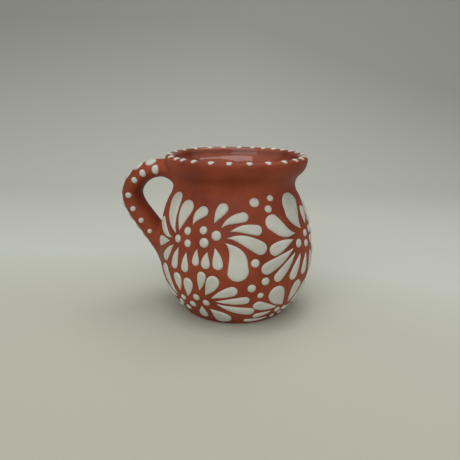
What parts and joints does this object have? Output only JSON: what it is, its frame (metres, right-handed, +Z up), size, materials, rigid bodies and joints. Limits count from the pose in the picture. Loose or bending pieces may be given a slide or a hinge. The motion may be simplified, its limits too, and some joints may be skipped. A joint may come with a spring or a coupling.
{
  "type": "clay mug",
  "caption": "Round-bellied thrown clay mug with a flared lip, a pulled strap handle, a glazed inside and raised white slip flowers.",
  "frame": {"origin": "centre of the flat foot, on the axis of the thrown pot", "axes": "+Z up along the pot's axis; the handle stands on the -X side; the front flower faces -Y"},
  "size_m": [0.1141, 0.091, 0.0923],
  "materials": {
    "clay": "unglazed, burnished, matt",
    "glaze": "clear gloss glaze over red clay",
    "slip": "warm white slip, satin"
  },
  "bodies": {
    "root": {"pot": "clay", "handle": "clay", "glaze_lining": "glaze", "rim_dots": "slip", "handle_edge_dots": "slip", "handle_back_drops": "slip", "scatter_dots": "slip", "front_flower_petals": "slip", "front_flower_dots": "slip", "right_flower_petals": "slip", "right_flower_dots": "slip", "back_flower_petals": "slip", "back_flower_dots": "slip", "low_front_flower_petals": "slip", "low_front_flower_dots": "slip", "low_right_flower_petals": "slip", "low_right_flower_dots": "slip", "low_back_flower_petals": "slip", "low_back_flower_dots": "slip", "low_left_flower_petals": "slip", "low_left_flower_dots": "slip"}
  },
  "joints": []
}
